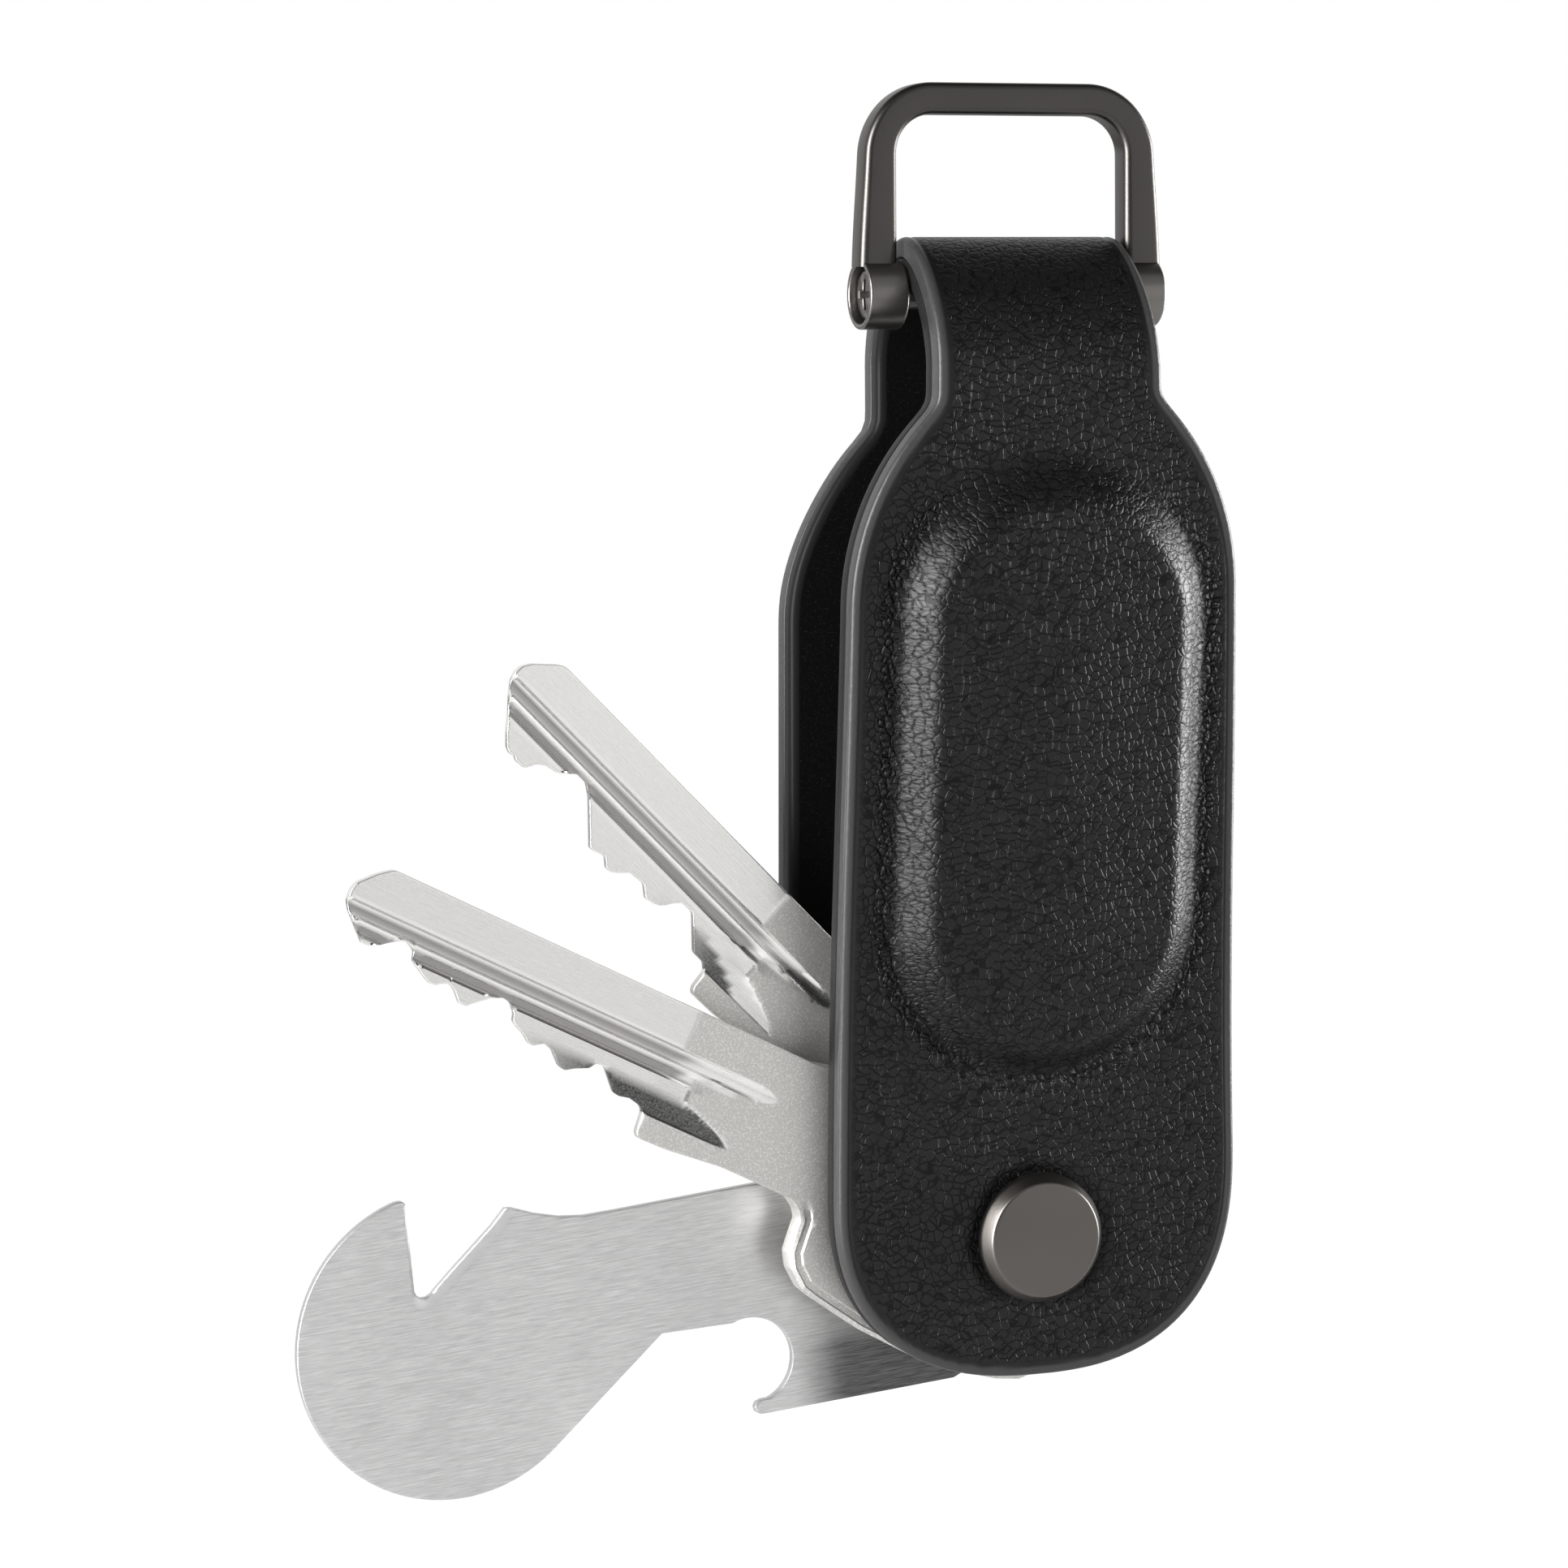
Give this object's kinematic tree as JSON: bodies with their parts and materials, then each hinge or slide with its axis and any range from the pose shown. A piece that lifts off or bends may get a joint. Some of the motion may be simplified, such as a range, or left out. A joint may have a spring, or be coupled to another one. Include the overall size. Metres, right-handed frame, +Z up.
{
  "type": "key organizer",
  "caption": "Folded black leather key organizer: keys and a flat coin-head tool swing out on a pivot post between two leaves, with a moulded pad and a metal D-ring on the fold",
  "frame": {"origin": "centre of the front pivot button's flat face, on the pivot axis", "axes": "+Z up the strap from the pivot to the D-ring, -Y out of the front leaf (the axis of the pivot runs along Y), +X to the right of someone facing the front leaf"},
  "size_m": [0.073, 0.0213, 0.1064],
  "materials": {
    "cover_leather": "pebbled black leather, satin",
    "lining_leather": "smooth black leather",
    "pad_core": "skived leather filler under the moulded pad",
    "gunmetal": "dark satin plating with bright bevels",
    "washer": "plain steel",
    "nickel": "nickel-plated brass, milled blade, matt bow",
    "brushed_plate": "brushed stainless sheet"
  },
  "bodies": {
    "strap": {"cover_leather": "cover_leather", "lining_leather": "lining_leather", "pad_core": "pad_core", "pivot_post": "gunmetal", "pivot_screw": "gunmetal", "front_washer": "washer", "middle_washer": "washer", "rear_washer": "washer", "wave_washer": "washer", "ring_sleeve": "washer"},
    "key_front": {"key_front": "nickel"},
    "key_rear": {"key_rear": "nickel"},
    "tool": {"tool_plate": "brushed_plate"},
    "d_ring": {"d_ring": "gunmetal", "ring_screw": "gunmetal"}
  },
  "joints": [
    {"name": "key_front_swing", "type": "hinge", "parent": "strap", "child": "key_front", "pos_m": [0, 0.0063, 0], "axis": [0, 1, 0], "continuous": true},
    {"name": "key_rear_swing", "type": "hinge", "parent": "strap", "child": "key_rear", "pos_m": [0, 0.0089, 0], "axis": [0, 1, 0], "continuous": true},
    {"name": "tool_swing", "type": "hinge", "parent": "strap", "child": "tool", "pos_m": [0, 0.01125, 0], "axis": [0, 1, 0], "continuous": true},
    {"name": "d_ring_swing", "type": "hinge", "parent": "strap", "child": "d_ring", "pos_m": [0, 0.00705, 0.072], "axis": [1, 0, 0], "range_deg": [-120, 120]}
  ]
}
